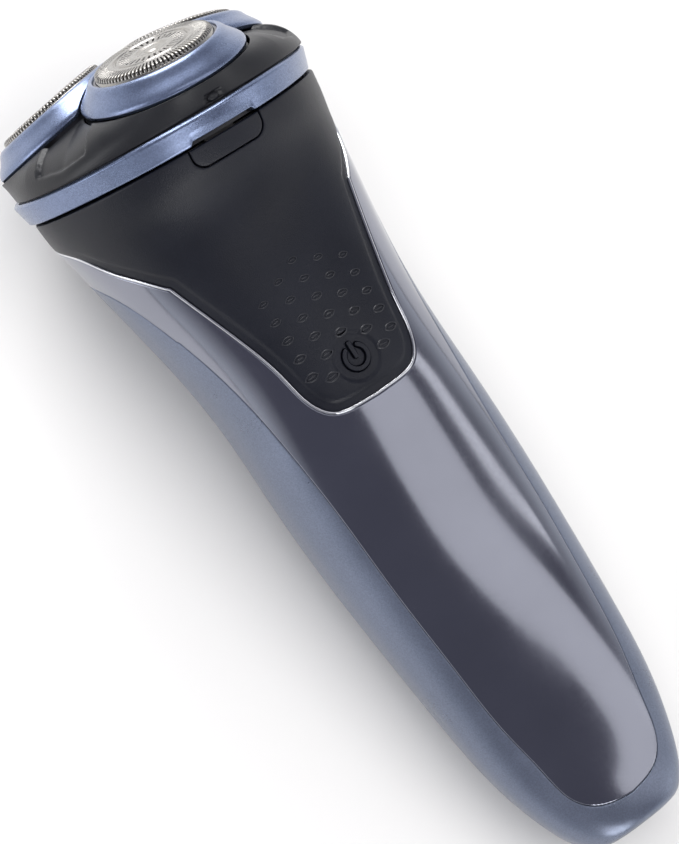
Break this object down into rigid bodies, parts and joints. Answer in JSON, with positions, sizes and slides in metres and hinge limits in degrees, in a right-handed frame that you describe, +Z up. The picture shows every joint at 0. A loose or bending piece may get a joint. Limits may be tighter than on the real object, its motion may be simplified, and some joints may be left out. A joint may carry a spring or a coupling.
{
  "type": "electric shaver",
  "caption": "Cordless rotary shaver: slim flared handle with a glossy front and soft grip, release button, and a tilted round head carrying slotted floating caps.",
  "frame": {"origin": "centre of the bounding box's underside, on the surface the shaver lies on", "axes": "+X to the shaver's right seen from its front, +Y from the tail towards the head, +Z up out of the front while it lies on its back"},
  "size_m": [0.06, 0.169, 0.0586],
  "materials": {
    "casing_blue": "satin metallic coat over moulded plastic",
    "band_blue": "bright metallic coat with fine flake",
    "smoke_chrome": "dark mirror-bright plating",
    "bright_trim": "polished",
    "soft_black": "soft-touch, fine grain",
    "cover_black": "satin black",
    "dark_plastic": "moulded",
    "grey_plastic": "moulded",
    "white_plastic": "moulded acetal",
    "steel": "fine turned grain",
    "zinc_steel": "zinc plated",
    "brass": "machined",
    "nickel": "nickel plated",
    "board_green": "solder mask",
    "chip_black": "moulded",
    "battery_wrap": "shrink sleeve",
    "seal_rubber": "moulded"
  },
  "bodies": {
    "handle": {"rear_casing": "casing_blue", "front_shell": "smoke_chrome", "grip_panel": "soft_black", "grip_trim": "bright_trim", "battery": "battery_wrap", "battery_tabs": "nickel", "circuit_board": "board_green", "board_components": "chip_black", "power_switch": "chip_black", "inlet_bezel": "dark_plastic", "inlet_shell": "nickel", "inlet_tongue": "chip_black", "inlet_board": "board_green", "neck_plate": "dark_plastic", "neck_seal": "seal_rubber", "gear_housing": "grey_plastic", "plate_screws": "zinc_steel", "motor_can": "zinc_steel", "motor_end_plate": "white_plastic", "motor_terminals": "brass", "release_springs": "steel"},
    "motor": {"motor_rotor": "zinc_steel", "drive_pinion": "brass"},
    "power_button": {"power_button": "soft_black"},
    "release_button": {"release_button": "soft_black"},
    "shaving_unit": {"head_band": "band_blue", "hair_chamber": "dark_plastic", "latch_tongue": "dark_plastic", "head_cover": "cover_black", "retaining_frame": "grey_plastic"},
    "drive_1": {"drive_gear_1": "white_plastic", "drive_spindle_1": "white_plastic", "spindle_spring_1": "steel"},
    "drive_2": {"drive_gear_2": "white_plastic", "drive_spindle_2": "white_plastic", "spindle_spring_2": "steel"},
    "drive_3": {"drive_gear_3": "white_plastic", "drive_spindle_3": "white_plastic", "spindle_spring_3": "steel"},
    "lobe_1": {"lobe_skirt_1": "band_blue", "lobe_seat_1": "cover_black", "lobe_pivot_pin_1": "steel"},
    "cap_1": {"shaving_cap_1": "steel"},
    "cutter_1": {"cutter_1": "steel", "cutter_hub_1": "grey_plastic"},
    "lobe_2": {"lobe_skirt_2": "band_blue", "lobe_seat_2": "cover_black", "lobe_pivot_pin_2": "steel"},
    "cap_2": {"shaving_cap_2": "steel"},
    "cutter_2": {"cutter_2": "steel", "cutter_hub_2": "grey_plastic"},
    "lobe_3": {"lobe_skirt_3": "band_blue", "lobe_seat_3": "cover_black", "lobe_pivot_pin_3": "steel"},
    "cap_3": {"shaving_cap_3": "steel"},
    "cutter_3": {"cutter_3": "steel", "cutter_hub_3": "grey_plastic"}
  },
  "joints": [
    {"name": "motor_spin", "type": "hinge", "parent": "handle", "child": "motor", "pos_m": [0, 0.0571, 0.02483], "axis": [0, 0.9269, 0.3754], "continuous": true},
    {"name": "drive_spin_1", "type": "hinge", "parent": "handle", "child": "drive_1", "pos_m": [0, 0.05366, 0.03865], "axis": [0, 0.9269, 0.3754], "continuous": true},
    {"name": "drive_spin_2", "type": "hinge", "parent": "handle", "child": "drive_2", "pos_m": [0.01221, 0.0616, 0.01905], "axis": [0, 0.9269, 0.3754], "continuous": true},
    {"name": "drive_spin_3", "type": "hinge", "parent": "handle", "child": "drive_3", "pos_m": [-0.01221, 0.0616, 0.01905], "axis": [0, 0.9269, 0.3754], "continuous": true},
    {"name": "power_press", "type": "slide", "parent": "handle", "child": "power_button", "axis": [0, 0.1002, -0.995], "range_m": [0, 0.0006], "stiffness_N_per_m": 1500, "springref_m": -0.0005},
    {"name": "release_press", "type": "slide", "parent": "handle", "child": "release_button", "axis": [0, 0.3754, -0.9269], "range_m": [0, 0.001], "stiffness_N_per_m": 1500, "springref_m": -0.0005, "deforming": ["release_springs"]},
    {"name": "unit_lift_off", "type": "slide", "parent": "handle", "child": "shaving_unit", "axis": [0, 0.9269, 0.3754], "range_m": [0, 0.018]},
    {"name": "lobe_tilt_1", "type": "hinge", "parent": "shaving_unit", "child": "lobe_1", "pos_m": [0, 0.06727, 0.03435], "axis": [1, 0, 0], "range_deg": [0, 2], "stiffness_Nm_per_rad": 0.4, "springref_deg": -1.15},
    {"name": "cap_float_1", "type": "slide", "parent": "lobe_1", "child": "cap_1", "axis": [0, -0.8285, -0.5599], "range_m": [0, 0.001], "stiffness_N_per_m": 500, "springref_m": -0.001},
    {"name": "cutter_spin_1", "type": "hinge", "parent": "cap_1", "child": "cutter_1", "pos_m": [0, 0.06929, 0.04633], "axis": [0, 0.8285, 0.5599], "continuous": true},
    {"name": "lobe_tilt_2", "type": "hinge", "parent": "shaving_unit", "child": "lobe_2", "pos_m": [0.00433, 0.07009, 0.02739], "axis": [-0.5, 0.3251, -0.8027], "range_deg": [0, 2], "stiffness_Nm_per_rad": 0.4, "springref_deg": -1.15},
    {"name": "cap_float_2", "type": "slide", "parent": "lobe_2", "child": "cap_2", "axis": [-0.1801, -0.9456, -0.2709], "range_m": [0, 0.001], "stiffness_N_per_m": 500, "springref_m": -0.001},
    {"name": "cutter_spin_2", "type": "hinge", "parent": "cap_2", "child": "cutter_2", "pos_m": [0.01329, 0.07793, 0.02499], "axis": [0.1801, 0.9456, 0.2709], "continuous": true},
    {"name": "lobe_tilt_3", "type": "hinge", "parent": "shaving_unit", "child": "lobe_3", "pos_m": [-0.00433, 0.07009, 0.02739], "axis": [-0.5, -0.3251, 0.8027], "range_deg": [0, 2], "stiffness_Nm_per_rad": 0.4, "springref_deg": -1.15},
    {"name": "cap_float_3", "type": "slide", "parent": "lobe_3", "child": "cap_3", "axis": [0.1801, -0.9456, -0.2709], "range_m": [0, 0.001], "stiffness_N_per_m": 500, "springref_m": -0.001},
    {"name": "cutter_spin_3", "type": "hinge", "parent": "cap_3", "child": "cutter_3", "pos_m": [-0.01329, 0.07793, 0.02499], "axis": [-0.1801, 0.9456, 0.2709], "continuous": true}
  ],
  "couplings": [
    {"joint": "drive_spin_1", "follows": "motor_spin", "ratio": -0.46875},
    {"joint": "drive_spin_2", "follows": "motor_spin", "ratio": -0.46875},
    {"joint": "drive_spin_3", "follows": "motor_spin", "ratio": -0.46875},
    {"joint": "cutter_spin_1", "follows": "motor_spin", "ratio": -0.46875},
    {"joint": "cutter_spin_2", "follows": "motor_spin", "ratio": -0.46875},
    {"joint": "cutter_spin_3", "follows": "motor_spin", "ratio": -0.46875}
  ]
}
